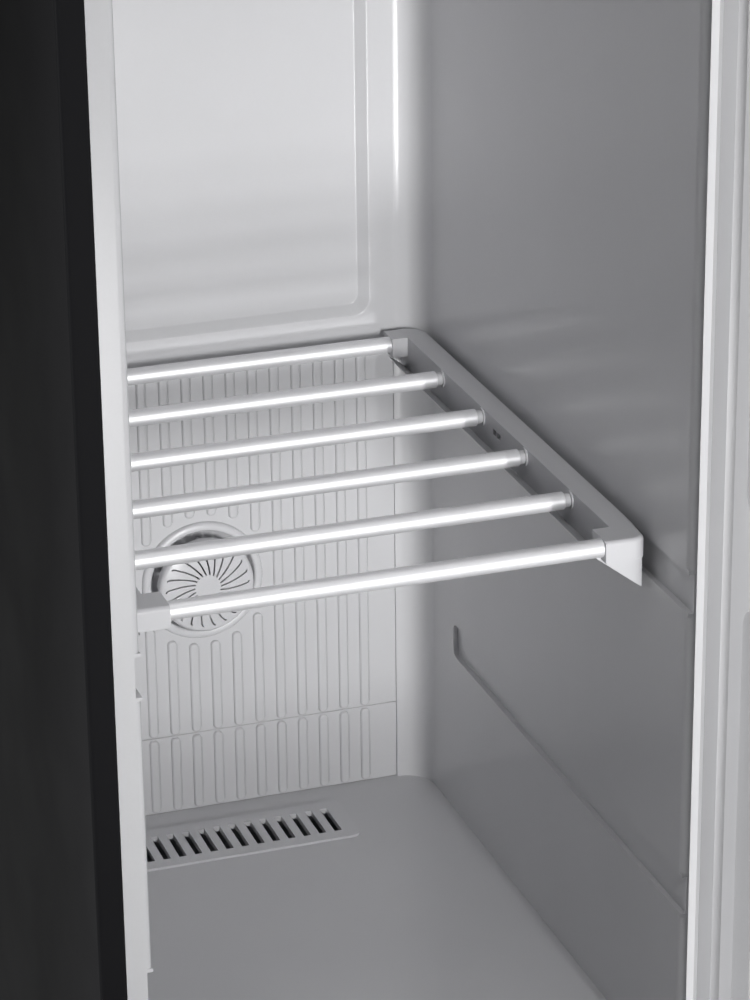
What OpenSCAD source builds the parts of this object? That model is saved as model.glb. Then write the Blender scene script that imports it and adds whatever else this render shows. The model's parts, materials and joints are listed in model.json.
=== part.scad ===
// Clothes steam cabinet with its door open at a right angle, in millimetres.
// Modelled about the middle of its front plane (X right, Y to the rear, Z up), then shifted in Y
// so that the origin is on the ground in the middle of the footprint of cabinet and open door.

/* [Cabinet] */
// Overall width
cabinet_w = 445; // [441:1:460]
// Height of the top panel above the ground
cabinet_h = 1838; // [1825:1:1900]
// Depth from the inner back wall to the outside of the rear cover
rear_space = 43; // [42:1:60]
// Thickness of the painted steel sheet
sheet_t = 1.2; // [1:0.1:1.5]
// Thickness of the galvanised rear cover
rear_t = 0.8; // [0.6:0.1:1.2]
// Width of the flange that each side panel turns in at the front
flange_w = 17.4; // [16:0.2:18]
// Depth of the hem behind that flange
hem_d = 12; // [8:1:14]
// Bend radius at the front edge of the side panels
bend_r = 3; // [2:0.5:5]
// Height of the base tray above the ground
base_z = 22; // [18:1:26]
// Thickness of the base tray and crossbar steel
base_t = 2; // [1.5:0.5:2.5]
// Height of the base tray's rim
tray_h = 38; // [30:1:40]
// Height of the front crossbar's top face, where the lower hinge sits
crossbar_z = 82; // [80:1:90]
// Radius of a levelling foot
foot_r = 19; // [15:1:24]

/* [Liner] */
// Thickness of a side, from the casing's outside to the inner wall
side_wall = 35.5; // [34:0.5:37]
// Depth inside, from the front plane to the back wall
inner_d = 525; // [515:1:526]
// Height of the inner floor above the ground
floor_z = 430; // [428:1:440]
// Distance of the ceiling below the top panel
top_space = 78; // [74:1:100]
// Wall thickness of the liner
liner_t = 2.5; // [2:0.1:3]
// Radius of the liner's rear corners
corner_r = 24.5; // [18:0.5:30]
// Radius of the rolled edge round the mouth
mouth_r = 5; // [4:0.5:6]
// Depth of the step behind which the ribbed panels lie
step_d = 5.5; // [5:0.5:7]
// Depth of the recessed field in the upper back wall
field_d = 6; // [4:0.5:8]
// Height of the shelf grooves
groove_h = 28; // [26:1:30]
// Depth of the shelf grooves
groove_d = 4; // [3:0.5:5]
// How far the lower groove lies below the upper one
groove_pitch = 208; // [180:1:230]
// Distance from the back wall to the grooves' rear end
groove_stop = 96; // [80:1:120]

/* [Ribbed panels] */
// Distance from rib to rib
rib_pitch = 18; // [15:0.5:22]
// Width of a rib
rib_w = 7; // [5:0.5:9]
// Height of a rib
rib_h = 2; // [1.5:0.5:2.5]
// Height of the joint between the two panels above the inner floor
panel_joint = 68; // [50:1:90]
// Distance of the steam outlet below the shelf
outlet_drop = 188; // [170:1:200]
// Radius of the slotted cap
cap_r = 39; // [34:1:42]
// Radius of the ring round the cap
ring_r = 50; // [48:1:54]
// Number of slots in the cap
slot_n = 22; // [16:1:24]
// Width of a slot
slot_w = 1.8; // [1.2:0.2:2.4]

/* [Shelf] */
// Height of the rods above the ground
shelf_z = 820; // [790:1:850]
// Distance from rod to rod
rod_pitch = 87.5; // [80:0.5:88]
// Diameter of a rod
rod_d = 13; // [10:0.5:14]
// Distance from the front plane to the first rod
rod_y = 65.5; // [60:0.5:66]
// Width of a shelf bracket
bracket_w = 17.5; // [16:0.5:20]
// Gap between a bracket's outer edge and the inner wall
bracket_gap = 5.5; // [4:0.5:7]
// Height of the bracket's top above the rods' middle
bracket_up = 7; // [7:0.5:9]
// Length of the sleeves round the first and last rod
sleeve_l = 12.5; // [9:0.5:14]
// Length of the pegs that show between the brackets and the middle rods
stub_l = 5.5; // [4:0.5:7]
// Radius of those pegs
peg_r = 5; // [4:0.2:5]
// Radius of the brackets' front outer corners
bracket_r = 9; // [7:1:10]

/* [Door] */
// Thickness of the door without its seal
door_t = 40; // [36:1:40]
// Gap between the front plane and the door's inner face
door_gap = 10.5; // [10:0.5:11]
// Height of the door's lower edge above the ground
door_z0 = 90; // [90:1:100]
// Gap between the door's upper edge and the top panel's level
door_top_gap = 4; // [3.5:0.5:6]
// Distance of the pivot from the cabinet's side
pivot_in = 19; // [18:1:20]
// Distance of the pivot ahead of the front plane
pivot_out = 23; // [23:0.5:25]
// Radius of the hinge pins
pin_r = 5; // [4:0.5:5]
// Radius of the door's outer upright edges
door_r = 12; // [12:1:16]
// Radius of the door's inner upright edges
door_rim_r = 6; // [6:0.5:8]
// Width of the rim outside the seal
door_rim = 14; // [12:0.5:15]
// Width of the door seal
seal_w = 21; // [19:0.5:23]
// Height of the moulded ridge on the door liner
ridge_h = 10; // [8:0.5:12]
// Width of the ridge's top
ridge_w = 22; // [18:1:26]
// Distance from the ridge's inner edge to the door pockets
pocket_in = 20; // [14:1:26]

/* [Water tanks and air path] */
// Distance from the tanks' bay to each side of the cabinet
bay_side = 56; // [55:1:64]
// Depth of a tank
tank_d = 144; // [120:1:150]
// Height of a tank
tank_h = 155; // [130:1:165]
// Wall thickness of a tank
tank_t = 2.5; // [2:0.5:3]
// Depth of the lint filter's opening in the floor
filter_d = 80; // [70:1:90]
// Width of the lint filter's opening in the floor
filter_w = 220; // [180:1:230]
// Outer radius of the fan wheel
fan_r = 62; // [55:1:66]
// Number of blades on the fan wheel
blade_n = 24; // [18:1:30]
// Number of fins on a heat exchanger
fin_n = 22; // [16:1:26]

/* [Hanger] */
// Distance from each end of the hanger bar to the inner wall
hanger_room = 42; // [38:1:58]
// Throw of the crank that shakes the bar
crank_throw = 12; // [8:1:14]
// Number of hook seats on the bar
seat_n = 5; // [3:1:6]

/* [Hidden] */
$fn = 64;
eps = 0.01;
gap = 0.3;
run = 0.05;

half_w = cabinet_w / 2;
inner_w = cabinet_w - 2 * side_wall;
cabinet_d = inner_d + rear_space;
ceiling_z = cabinet_h - top_space;
groove_end = inner_d - groove_stop;
wall_x = inner_w / 2;
lip_x = half_w - flange_w - gap;
top_z = cabinet_h - sheet_t;
rear_y = cabinet_d - rear_t;
plate_t = 3;
door_top = cabinet_h - door_top_gap;
door_in = -door_gap;
door_out = -door_gap - door_t;
pivot_x = half_w - pivot_in;
origin_y = -(rear_y + rear_t - (pivot_out + pivot_x + half_w)) / 2;

// Plan of a box from y0 to y1 whose two rear corners are round
module round_back(w, y0, y1, r) {
    translate([-w / 2, y0]) square([w, y1 - y0 - r]);
    translate([-w / 2 + r, y0]) square([w - 2 * r, y1 - y0]);
    for (s = [-1, 1]) translate([s * (w / 2 - r), y1 - r]) circle(r);
}

// Rectangle from the middle with round corners
module round_rect(w, h, r) {
    square([w - 2 * r, h], center = true);
    square([w, h - 2 * r], center = true);
    for (x = [-1, 1], y = [-1, 1]) translate([x * (w / 2 - r), y * (h / 2 - r)]) circle(r);
}

// A block between two corners
module block(a, b) {
    translate(a) cube(b - a);
}

// A rod from point to point along one axis
module rod_x(a, l, r) { translate(a) rotate([0, 90, 0]) cylinder(h = l, r = r); }
module rod_y(a, l, r) { translate(a) rotate([-90, 0, 0]) cylinder(h = l, r = r); }
module rod_z(a, l, r) { translate(a) cylinder(h = l, r = r); }

// Moves what is drawn in the cabinet's frame to the part's origin
module placed() { translate([0, origin_y, 0]) children(); }

// Moves what is drawn on the closed door to the open door
module on_door() {
    placed() translate([pivot_x, -pivot_out, 0]) rotate([0, 0, 90])
        translate([-pivot_x, pivot_out, 0]) children();
}

// A pipe through a list of points, with a ball at each bend
module pipe_run(points, r) {
    for (i = [0 : len(points) - 2]) {
        d = points[i + 1] - points[i];
        translate(points[i]) rotate([0, acos(d[2] / norm(d)), atan2(d[1], d[0])])
            cylinder(h = norm(d), r = r);
        if (i > 0) translate(points[i]) sphere(r);
    }
}

lip_w = lip_x - wall_x - mouth_r;
lip_top = ceiling_z + mouth_r + lip_w;
lip_low = floor_z - mouth_r - lip_w;
mouth_mid = (ceiling_z + floor_z) / 2;
field_w = inner_w - 84;
field_z0 = shelf_z + 22;
field_z1 = ceiling_z - 60;
field_slope = 11;
step_w = inner_w - 2 * corner_r;
rib_n = floor((step_w - 26) / rib_pitch);
step_top = shelf_z - 2;
joint_z = floor_z + panel_joint;
outlet_z = shelf_z - outlet_drop;
cup_r = ring_r - 6;
cup_y = inner_d + 13;
groove_z = [shelf_z - 13, shelf_z - 13 - groove_pitch];
filter_y = 45;
grille_size = [190, 52];
grille_y = inner_d - 33 - grille_size[1];
lamp_y = 60;
lamp_size = [130, 30];
screw_z = [base_z + 60, base_z + 600, base_z + 1200, cabinet_h - 60];
screw_x = half_w - flange_w / 2;
top_screws = [[pivot_x - 23.5, 20], [pivot_x - 1.5, 20], [pivot_x - 12.5, 48]];
low_screws = [[pivot_x - 25.5, 10], [pivot_x - 7.5, 12], [pivot_x - 16.5, 25]];
foot_at = [half_w - 42, 45, cabinet_d - 48];
gland_at = [-150, 105];

// Folded side panel on the right: front flange, hem, wall and rear flange
module side_plan() {
    x0 = half_w - flange_w;
    difference() {
        union() {
            translate([x0, bend_r]) square([flange_w, rear_y - bend_r]);
            translate([x0, 0]) square([flange_w - bend_r, rear_y]);
            translate([half_w - bend_r, bend_r]) circle(bend_r);
        }
        translate([x0 - eps, bend_r])
            square([flange_w - sheet_t + eps, rear_y - sheet_t - bend_r]);
        translate([x0 - eps, sheet_t])
            square([flange_w - bend_r + eps, rear_y - 2 * sheet_t]);
        translate([half_w - bend_r, bend_r]) circle(bend_r - sheet_t);
    }
    translate([x0, 0]) square([sheet_t, hem_d]);
}

module side_panel() {
    difference() {
        translate([0, 0, base_z]) linear_extrude(top_z - base_z) side_plan();
        for (z = screw_z) rod_y([screw_x, rear_y - 2 * sheet_t, z], 3 * sheet_t, 2);
    }
}
module right_side_panel() { placed() color("#1a1a1b") side_panel(); }
module left_side_panel() { placed() color("#1a1a1b") mirror([1, 0, 0]) side_panel(); }

module top_panel() {
    placed() color("#1a1a1b") {
        difference() {
            block([-half_w, 0, top_z], [half_w, rear_y, cabinet_h]);
            for (p = top_screws) rod_z([p[0], p[1], top_z - 1], 4, 2.7);
        }
        block([-lip_x, 0, lip_top + gap], [lip_x, sheet_t, top_z + eps]);
        block([-lip_x, 0, lip_top + gap], [lip_x, hem_d, lip_top + gap + sheet_t]);
    }
}

module rear_cover() {
    placed() color("#8d9094") difference() {
        block([-half_w, rear_y, base_z], [half_w, cabinet_d, cabinet_h]);
        for (s = [-1, 1], z = screw_z) rod_y([s * screw_x, rear_y - 1, z], 4, 2.2);
        rod_y([gland_at[0], rear_y - 1, gland_at[1]], 4, 9.2);
        for (c = [-40, 40, 120], r = [0 : 8])
            translate([c, rear_y, 130 + r * 16]) cube([64, 6, 5], center = true);
    }
}

module tray_plan(inset) {
    wide = half_w - sheet_t - gap - inset;
    translate([-lip_x + inset, 3 + inset]) square([2 * (lip_x - inset), 40]);
    translate([-wide, hem_d + 1 + inset])
        square([2 * wide, rear_y - sheet_t - gap - hem_d - 1 - 2 * inset]);
}

module base_tray() {
    placed() color("#77797c") difference() {
        translate([0, 0, base_z]) linear_extrude(tray_h) tray_plan(0);
        translate([0, 0, base_z + base_t]) linear_extrude(tray_h) tray_plan(base_t);
        for (s = [-1, 1], y = [foot_at[1], foot_at[2]])
            rod_z([s * foot_at[0], y, base_z - 1], base_t + 2, 5.2);
    }
}

module front_crossbar() {
    z0 = base_z + tray_h;
    placed() color("#77797c") difference() {
        block([-lip_x, 3, z0], [lip_x, 33, crossbar_z]);
        block([-lip_x - 1, 3 + base_t, z0 - 1], [lip_x + 1, 33 - base_t, crossbar_z - base_t]);
        for (p = low_screws) rod_z([p[0], p[1], crossbar_z - 4], 5, 2.7);
    }
}

module kick_plate() {
    placed() color("#1f1f20") difference() {
        union() {
            block([-lip_x, 0, base_z], [lip_x, 2.7, crossbar_z - 0.5]);
            block([-lip_x, 0, base_z - 2], [lip_x, 12, base_z]);
        }
        for (i = [-4 : 4]) translate([i * 40, 1, base_z + 36]) cube([30, 6, 5], center = true);
        for (i = [-4 : 4]) translate([i * 40, 1, base_z + 24]) cube([30, 6, 5], center = true);
    }
}

module levelling_feet() {
    placed() color("#2a2a2b") for (s = [-1, 1], y = [foot_at[1], foot_at[2]])
        translate([s * foot_at[0], y, 0]) {
            cylinder(h = 7, r = foot_r);
            translate([0, 0, 7]) cylinder(h = 5, r1 = foot_r, r2 = 9);
            cylinder(h = base_z + base_t + 10, r = 5);
            translate([0, 0, base_z - 6]) cylinder(h = 6, r = 9, $fn = 6);
        }
}

// Rolled edge and lip of the liner: a quarter ring, a flat lip and a turned back hem
module mouth_profile() {
    difference() {
        translate([wall_x, 0]) square(mouth_r);
        translate([wall_x + mouth_r, mouth_r]) circle(mouth_r - liner_t);
        difference() {
            translate([wall_x - 1, -1]) square(mouth_r + 1);
            translate([wall_x + mouth_r, mouth_r]) circle(mouth_r);
        }
    }
    translate([wall_x + mouth_r - eps, 0]) square([lip_w + eps, liner_t]);
    translate([lip_x - liner_t, 0]) square([liner_t, hem_d - 2]);
}

// One side groove, open at the mouth and round at its rear end, from the wall outwards by d
module groove_form(z, d, grow) {
    r = groove_h / 2 + grow;
    block([wall_x - 1, -1, z - r], [wall_x + d, groove_end - groove_h / 2, z + r]);
    rod_x([wall_x - 1, groove_end - groove_h / 2, z], d + 1, r);
}

module rect_plate(w, z0, z1, y, r) {
    translate([0, y, (z0 + z1) / 2]) rotate([90, 0, 0])
        linear_extrude(eps) round_rect(w, z1 - z0, r);
}

module inner_liner() {
    placed() color("#e9e9ec") difference() {
        union() {
            translate([0, 0, floor_z - liner_t]) linear_extrude(ceiling_z - floor_z + 2 * liner_t)
                round_back(inner_w + 2 * liner_t, mouth_r, inner_d + liner_t, corner_r + liner_t);
            for (s = [0, 1]) mirror([s, 0, 0]) {
                translate([0, 0, lip_low]) linear_extrude(lip_top - lip_low) mouth_profile();
                for (z = groove_z) intersection() {
                    groove_form(z, groove_d + liner_t, liner_t);
                    block([wall_x, 0, 0], [half_w, inner_d, cabinet_h]);
                }
            }
            for (s = [0, 1]) translate([0, 0, mouth_mid]) mirror([0, 0, s])
                translate([0, 0, (ceiling_z - floor_z) / 2 - wall_x]) rotate([90, 0, 90])
                    translate([0, 0, -lip_x]) linear_extrude(2 * lip_x)
                        mirror([1, -1]) mouth_profile();
            block([-step_w / 2 - liner_t, inner_d, floor_z - liner_t],
                [step_w / 2 + liner_t, inner_d + step_d + liner_t, step_top + liner_t]);
            block([-field_w / 2 - liner_t, inner_d, field_z0 - liner_t],
                [field_w / 2 + liner_t, inner_d + field_d + liner_t, field_z1 + liner_t]);
        }
        translate([0, 0, floor_z]) linear_extrude(ceiling_z - floor_z)
            round_back(inner_w, -mouth_r, inner_d, corner_r);
        for (s = [0, 1], z = groove_z) mirror([s, 0, 0]) groove_form(z, groove_d, 0);
        block([-step_w / 2, inner_d - 1, floor_z], [step_w / 2, inner_d + step_d, step_top]);
        hull() {
            rect_plate(field_w, field_z0, field_z1, inner_d, 24);
            rect_plate(field_w - 2 * field_slope, field_z0 + field_slope, field_z1 - field_slope,
                inner_d + field_d, 15);
        }
        rod_y([0, inner_d, outlet_z], 20, cup_r + 2);
        block([-filter_w / 2, filter_y, floor_z - 9], [filter_w / 2, filter_y + filter_d, floor_z + 1]);
        block([-grille_size[0] / 2, grille_y, floor_z - 9],
            [grille_size[0] / 2, grille_y + grille_size[1], floor_z + 1]);
        block([-lamp_size[0] / 2, lamp_y, ceiling_z - 1],
            [lamp_size[0] / 2, lamp_y + lamp_size[1], ceiling_z + 9]);
        rod_z([0, hanger_y, ceiling_z - 1], 9, 12);
    }
}

module insulation_boards() {
    x0 = wall_x + liner_t + gap;
    x1 = half_w - sheet_t - gap;
    placed() color("#f2eee2") {
        for (s = [0, 1]) mirror([s, 0, 0]) difference() {
            block([x0, hem_d + 3, floor_z - 10], [x1, rear_y - sheet_t - 8, ceiling_z + 10]);
            for (z = groove_z)
                groove_form(z, groove_d + liner_t + gap, liner_t + gap);
        }
        difference() {
            block([-x0 + 2 * gap, inner_d + max(field_d, step_d) + liner_t + gap, floor_z],
                [x0 - 2 * gap, rear_y - gap, ceiling_z + 10]);
            block([-22, inner_d, floor_z - 1], [22, cabinet_d, outlet_z + 30]);
            rod_y([0, inner_d, outlet_z], 40, cup_r + 5);
        }
    }
}

module ribbed_panel(z0, z1) {
    y0 = inner_d + rib_h;
    half = step_w / 2 - gap;
    block([-half, y0, z0], [half, inner_d + step_d - gap, z1]);
    for (i = [0 : rib_n - 1]) translate([(i - (rib_n - 1) / 2) * rib_pitch, y0 + eps, z0])
        linear_extrude(z1 - z0)
            polygon([[-rib_w / 2, 0], [-rib_w / 2 + 1.2, -rib_h], [rib_w / 2 - 1.2, -rib_h],
                [rib_w / 2, 0]]);
}

module ribbed_back_panel() {
    placed() color("#dfdfe3") difference() {
        ribbed_panel(joint_z + gap, step_top - gap);
        rod_y([0, inner_d - 1, outlet_z], 20, ring_r + gap);
    }
}

module lower_back_panel() { placed() color("#dfdfe3") ribbed_panel(floor_z + gap, joint_z); }

// Turns a profile of [radius, depth] points round the steam outlet's axis
module round_outlet(points) {
    translate([0, 0, outlet_z]) rotate([-90, 0, 0]) rotate_extrude() polygon(points);
}

module outlet_ring() {
    y0 = inner_d - 1.5;
    y1 = inner_d + step_d - 0.2;
    placed() color("#d8d8dc") difference() {
        round_outlet([[cup_r - 1.5, y0 + 1], [cup_r - 0.5, y0], [ring_r - 1.5, y0],
            [ring_r, y0 + 1.5], [ring_r, y1], [cup_r + 1.5, y1], [cup_r + 1.5, cup_y + 2.5],
            [14, cup_y + 2.5], [14, cup_y], [cup_r - 1.5, cup_y]]);
        for (a = [0 : 120 : 359]) translate([0, 0, outlet_z]) rotate([0, a, 0])
            rod_y([0, cup_y - 1, cap_r - 9], 5, 3.1);
    }
}

module outlet_cap() {
    y0 = inner_d - 14;
    placed() color("#e4e4e8") {
        difference() {
            round_outlet([[0, y0 - 2], [cap_r * 0.3, y0 - 1.8], [cap_r * 0.8, y0],
                [cap_r - 1, y0 + 1.6], [cap_r, y0 + 4], [cap_r, y0 + 9], [cap_r - 2.5, y0 + 9],
                [cap_r - 2.5, y0 + 3.5], [0, y0 + 2.5]]);
            for (i = [0 : slot_n - 1]) translate([0, y0, outlet_z]) rotate([0, i * 360 / slot_n, 0])
                translate([cap_r * 0.1, 0, cap_r * 0.32]) rotate([0, 9, 0])
                    translate([-slot_w / 2, -4, 0]) cube([slot_w, 10, cap_r * 0.53]);
        }
        for (a = [0 : 120 : 359]) translate([0, 0, outlet_z]) rotate([0, a, 0])
            rod_y([0, y0 + 2, cap_r - 9], cup_y + 2 - y0 - 2, 3);
    }
}

pipe_y = cup_y + 16;
module steam_nozzle() {
    placed() color("#3a3a3c") difference() {
        union() {
            rod_y([0, cup_y + 2.5 + 0.2, outlet_z], 2, 22);
            rod_y([0, cup_y - 2, outlet_z], pipe_y - cup_y + 4, 12);
            rod_z([0, pipe_y, outlet_z - 18], 18, 11);
        }
        rod_y([0, cup_y - 3, outlet_z], pipe_y - cup_y, 8);
    }
}

gen_size = [140, 120, 94];
gen_at = [-half_w + 27.5, inner_d - 75 - gen_size[1]];
gen_z = base_z + base_t + 22;
gen_top = gen_z + gen_size[2] + 10;
module steam_pipe() {
    x = gen_at[0] + gen_size[0] / 2;
    y = gen_at[1] + gen_size[1] / 2;
    placed() color("#b9bbbe") pipe_run([[x, y, gen_top], [x, y, gen_top + 25],
        [x, pipe_y, gen_top + 25], [0, pipe_y, gen_top + 25], [0, pipe_y, outlet_z - 18]], 8);
}

module steam_generator() {
    placed() color("#a9abae") {
        translate([gen_at[0] + gen_size[0] / 2, gen_at[1] + gen_size[1] / 2, gen_z])
            linear_extrude(gen_size[2]) round_rect(gen_size[0], gen_size[1], 12);
        for (x = [14, gen_size[0] - 14], y = [14, gen_size[1] - 14])
            rod_z([gen_at[0] + x, gen_at[1] + y, base_z + base_t], gen_z - base_z - base_t + eps, 8);
    }
}

module generator_lid() {
    placed() color("#5c5d60")
        translate([gen_at[0] + gen_size[0] / 2, gen_at[1] + gen_size[1] / 2, gen_z + gen_size[2]])
            difference() {
                union() {
                    linear_extrude(6) round_rect(gen_size[0] + 8, gen_size[1] + 8, 14);
                    linear_extrude(10) round_rect(gen_size[0] - 30, gen_size[1] - 30, 10);
                }
                for (x = [-1, 1], y = [-1, 1])
                    rod_z([x * (gen_size[0] / 2 - 6), y * (gen_size[1] / 2 - 6), -1], 9, 2);
            }
}

module slot_row(n, pitch, size) {
    for (i = [0 : n - 1]) translate([(i - (n - 1) / 2) * pitch, 0, 0]) cube(size, center = true);
}

module floor_grille() {
    g = grille_size;
    placed() color("#cfcfd3") translate([0, grille_y + g[1] / 2, floor_z]) difference() {
        union() {
            linear_extrude(2) round_rect(g[0] + 12, g[1] + 12, 8);
            translate([-g[0] / 2 + gap, -g[1] / 2 + gap, -liner_t])
                cube([g[0] - 2 * gap, g[1] - 2 * gap, liner_t + 1]);
        }
        slot_row(14, 13, [6, g[1] - 12, 20]);
    }
}

module lamp_lens() {
    l = lamp_size;
    placed() color("#f7f7fa") translate([0, lamp_y + l[1] / 2, ceiling_z]) {
        translate([0, 0, -2]) linear_extrude(2) round_rect(l[0] + 10, l[1] + 10, 8);
        translate([-l[0] / 2 + gap, -l[1] / 2 + gap, -eps])
            cube([l[0] - 2 * gap, l[1] - 2 * gap, liner_t + 6]);
    }
}

hanger_y = inner_d / 2;
hanger_l = inner_w - 2 * hanger_room;
house_w = hanger_l + 10;
house_d = 90;
house_h = 40;
guide_z = ceiling_z - 24;
guide_dy = 26;
guide_r = 5;
module hanger_housing() {
    placed() color("#d5d5d9") translate([0, hanger_y, ceiling_z - house_h]) difference() {
        linear_extrude(house_h) round_rect(house_w, house_d, 10);
        translate([0, 0, -1]) linear_extrude(house_h + 2) round_rect(house_w - 6, house_d - 6, 7);
        for (y = [-1, 1])
            rod_x([-house_w, y * guide_dy, guide_z - ceiling_z + house_h], 2 * house_w, guide_r + run);
    }
}

module slide_rods() {
    placed() color("#c9ccd0") for (y = [-1, 1])
        rod_x([-house_w / 2 + 0.5, hanger_y + y * guide_dy, guide_z], house_w - 1, guide_r);
}

module hanger_carriage() {
    rod_z0 = ceiling_z - 95;
    half = house_w / 2 - 8 - crank_throw;
    stem_x = half - 12;
    placed() color("#c3c6ca") translate([0, hanger_y, 0]) difference() {
        union() {
            block([-half, -36, guide_z - 9], [half, 36, guide_z + 9]);
            for (s = [-1, 1]) block([s * stem_x - 7, -9, rod_z0], [s * stem_x + 7, 9, guide_z - 8]);
            rod_x([-hanger_l / 2, 0, rod_z0], hanger_l, 9);
            for (i = [0 : seat_n])
                rod_x([(i / seat_n - 0.5) * (2 * stem_x - 36) - 2, 0, rod_z0], 4, 12);
        }
        for (y = [-1, 1]) rod_x([-half - 1, y * guide_dy, guide_z], 2 * half + 2, guide_r + run);
        block([-3.5, -crank_throw - 4, guide_z + 4], [3.5, crank_throw + 4, guide_z + 10]);
    }
}

crank_z = guide_z + 14;
module crank_disc() {
    placed() color("#b8b19a") translate([0, hanger_y, 0]) {
        rod_z([0, 0, crank_z], 5, crank_throw + 6);
        rod_z([0, 0, crank_z + 4], 48, 4);
        rod_z([crank_throw, 0, guide_z + 9.5], 5, 3);
    }
}

module hanger_motor() {
    z0 = ceiling_z + liner_t;
    placed() color("#9a9da1") translate([0, hanger_y, z0]) difference() {
        union() {
            cylinder(h = 44, r = 27);
            translate([-36, -20, 0]) cube([72, 40, 4]);
        }
        translate([0, 0, -1]) cylinder(h = 42, r = 4 + run);
    }
}

bay_clear = 1.5;
bay_wall = 3;
tank_w = half_w - bay_side - 1.5 * bay_wall - 2 * bay_clear;
bay_y = 2.8;
bay_z = crossbar_z + 10;
tank_cx = bay_wall / 2 + bay_clear + tank_w / 2;
bay_half = half_w - bay_side;
bay_back = 6 + tank_d + 12;
duct_z = floor_z - 108;
fascia_gap = 3.5;
front_h = 194;
module tank_bay() {
    z1 = bay_z + bay_wall;
    placed() color("#3b3c3f") {
        block([-bay_half, bay_y, bay_z], [bay_half, bay_back + bay_wall, z1]);
        for (x = [-bay_half, -bay_wall / 2, bay_half - bay_wall])
            block([x, bay_y, z1 - eps], [x + bay_wall, bay_back + bay_wall, z1 + front_h + 6]);
        block([-bay_half, bay_back, base_z + base_t], [bay_half, bay_back + bay_wall, duct_z]);
        for (x = [-bay_half, -20, 17, bay_half - bay_wall])
            block([x, bay_y, crossbar_z], [x + bay_wall, 36, bay_z + eps]);
    }
}

module bay_fascia() {
    open_w = tank_w + 2 * bay_clear;
    placed() color("#e2e2e5") difference() {
        block([-lip_x, 0, crossbar_z + fascia_gap], [lip_x, 2.5, lip_low - gap]);
        for (s = [-1, 1])
            block([s * tank_cx - open_w / 2, -1, bay_z + bay_wall - 0.5],
                [s * tank_cx + open_w / 2, 4, bay_z + bay_wall + front_h + 3]);
    }
}

duct_half = 128;
duct_y = [filter_y - 10, inner_d - 13];
duct_t = 3;
fan_at = [0, inner_d - 125];
house_r = fan_r + 11;
module air_duct() {
    placed() color("#bfc1c5") difference() {
        block([-duct_half, duct_y[0], duct_z], [duct_half, duct_y[1], floor_z - liner_t - gap]);
        block([-duct_half + duct_t, duct_y[0] + duct_t, duct_z + duct_t],
            [duct_half - duct_t, duct_y[1] - duct_t, floor_z]);
        rod_z([fan_at[0], fan_at[1], duct_z - 1], 5, 7);
        for (p = [condenser_port, evaporator_port]) {
            rod_x([duct_half - 5, p[1], p[2]], 9, pipe_r + 0.4);
            rod_x([-duct_half - 4, p[1], evaporator_port[2]], 9, pipe_r + 0.4);
        }
    }
}

coil_w = 2 * duct_half - 20;
coil_d = 52;
coil_h = 88;
coil_y0 = filter_y + filter_d;
coil_gap = (fan_at[1] - house_r - coil_y0 - 2 * coil_d) / 3;
coil_y = [coil_y0 + coil_gap, coil_y0 + 2 * coil_gap + coil_d];
coil_z = duct_z + duct_t + 0.2;
tube_at = [14, 11, 22];
pipe_r = 4;
evaporator_port = [coil_w / 2 + 4, coil_y[0] + coil_d / 2 + tube_at[0], coil_z + tube_at[1]];
condenser_port = [coil_w / 2 + 4, coil_y[1] + coil_d / 2 + tube_at[0],
    coil_z + tube_at[1] + 3 * tube_at[2]];

// A coil of fins on eight tubes, standing on the duct's floor
module fin_coil(y0) {
    for (i = [0 : fin_n - 1])
        block([-coil_w / 2 + i * (coil_w - 1) / (fin_n - 1), y0, coil_z],
            [-coil_w / 2 + i * (coil_w - 1) / (fin_n - 1) + 1, y0 + coil_d, coil_z + coil_h]);
    for (k = [0 : 3], d = [-1, 1])
        rod_x([-coil_w / 2 - 4, y0 + coil_d / 2 + d * tube_at[0], coil_z + tube_at[1] + k * tube_at[2]],
            coil_w + 8, pipe_r);
}
module evaporator() { placed() color("#c8b48c") fin_coil(coil_y[0]); }
module condenser() { placed() color("#c8b48c") fin_coil(coil_y[1]); }

comp_at = [half_w - 104.5, inner_d - 105];
comp_r = 58;
comp_z = base_z + base_t + 17;
comp_h = 195;
module compressor() {
    placed() color("#202123") {
        translate([comp_at[0], comp_at[1], comp_z]) rotate_extrude()
            polygon([[0, 0], [comp_r - 14, 0], [comp_r - 4, 5], [comp_r, 16], [comp_r, comp_h - 24],
                [comp_r - 5, comp_h - 11], [comp_r - 20, comp_h - 3], [12, comp_h], [6, comp_h],
                [6, comp_h + 12], [0, comp_h + 12]]);
        for (a = [90, 210, 330]) translate([comp_at[0], comp_at[1], comp_z - 3]) rotate([0, 0, a])
            difference() {
                translate([0, -14, 0]) cube([comp_r + 28, 28, 3 + eps]);
                rod_z([comp_r + 16, 0, -1], 6, 5);
            }
        rod_z([comp_at[0], comp_at[1] - comp_r - 18, comp_z + 50], 110, 19);
        rod_z([comp_at[0], comp_at[1] - comp_r - 18, comp_z + 159], 12, 5);
        block([comp_at[0] - 8, comp_at[1] - comp_r - 10, comp_z + 90],
            [comp_at[0] + 8, comp_at[1] - comp_r + 8, comp_z + 102]);
    }
}

module compressor_grommets() {
    placed() color("#111112") for (a = [90, 210, 330])
        translate([comp_at[0], comp_at[1], base_z + base_t]) rotate([0, 0, a])
            translate([comp_r + 16, 0, 0]) {
                cylinder(h = comp_z - 3 - base_z - base_t, r = 11);
                cylinder(h = comp_z + 5 - base_z - base_t, r = 4.8);
            }
}

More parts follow.
